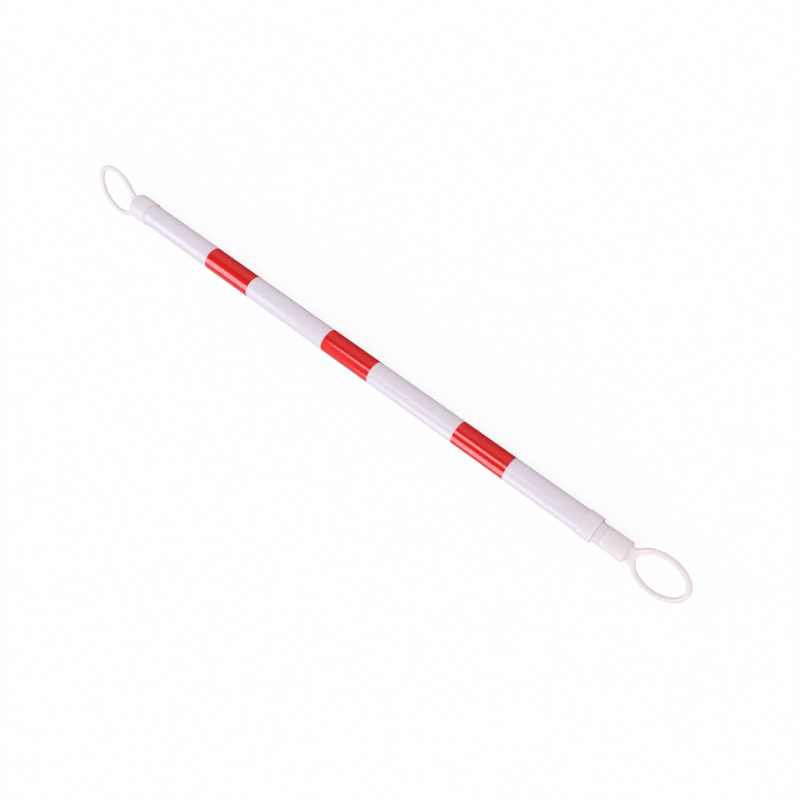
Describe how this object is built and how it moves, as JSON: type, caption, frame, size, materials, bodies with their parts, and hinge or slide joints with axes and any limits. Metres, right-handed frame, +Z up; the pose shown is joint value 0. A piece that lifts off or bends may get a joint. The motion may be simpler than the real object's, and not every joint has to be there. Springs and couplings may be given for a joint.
{
  "type": "retractable traffic cone bar",
  "caption": "Telescopic white plastic bar with red reflective bands and a moulded ring at each end, dropped over traffic cone tops to close the gap between cones.",
  "frame": {"origin": "on the ground under the middle of the bar, pushed in as it lies", "axes": "+X along the bar towards the ring of the fixed half, +Z up through both level rings, the sliding half at -X"},
  "size_m": [1.2626, 0.097, 0.0436],
  "materials": {
    "white_tube": "extruded white PVC, glossy",
    "white_moulding": "moulded white polypropylene, satin",
    "red_film": "red reflective film, glossy",
    "bush_plastic": "moulded natural polyethylene, satin",
    "rubber": "black nitrile rubber"
  },
  "bodies": {
    "outer_section": {"outer_tube": "white_tube", "outer_band_1": "red_film", "outer_band_2": "red_film", "outer_band_3": "red_film", "guide_collar": "white_moulding", "far_end_cap": "white_moulding"},
    "friction_ring": {"friction_ring": "rubber"},
    "inner_section": {"inner_tube": "white_tube", "inner_band_1": "red_film", "inner_band_2": "red_film", "inner_band_3": "red_film", "near_end_plug": "white_moulding", "stop_bush": "bush_plastic"}
  },
  "joints": [
    {"name": "reach", "type": "slide", "parent": "outer_section", "child": "friction_ring", "axis": [-1, 0, 0], "range_m": [-0.011, 0.8385]},
    {"name": "twist", "type": "hinge", "parent": "friction_ring", "child": "inner_section", "pos_m": [0.38375, 0, 0.0218], "axis": [1, 0, 0], "continuous": true}
  ]
}
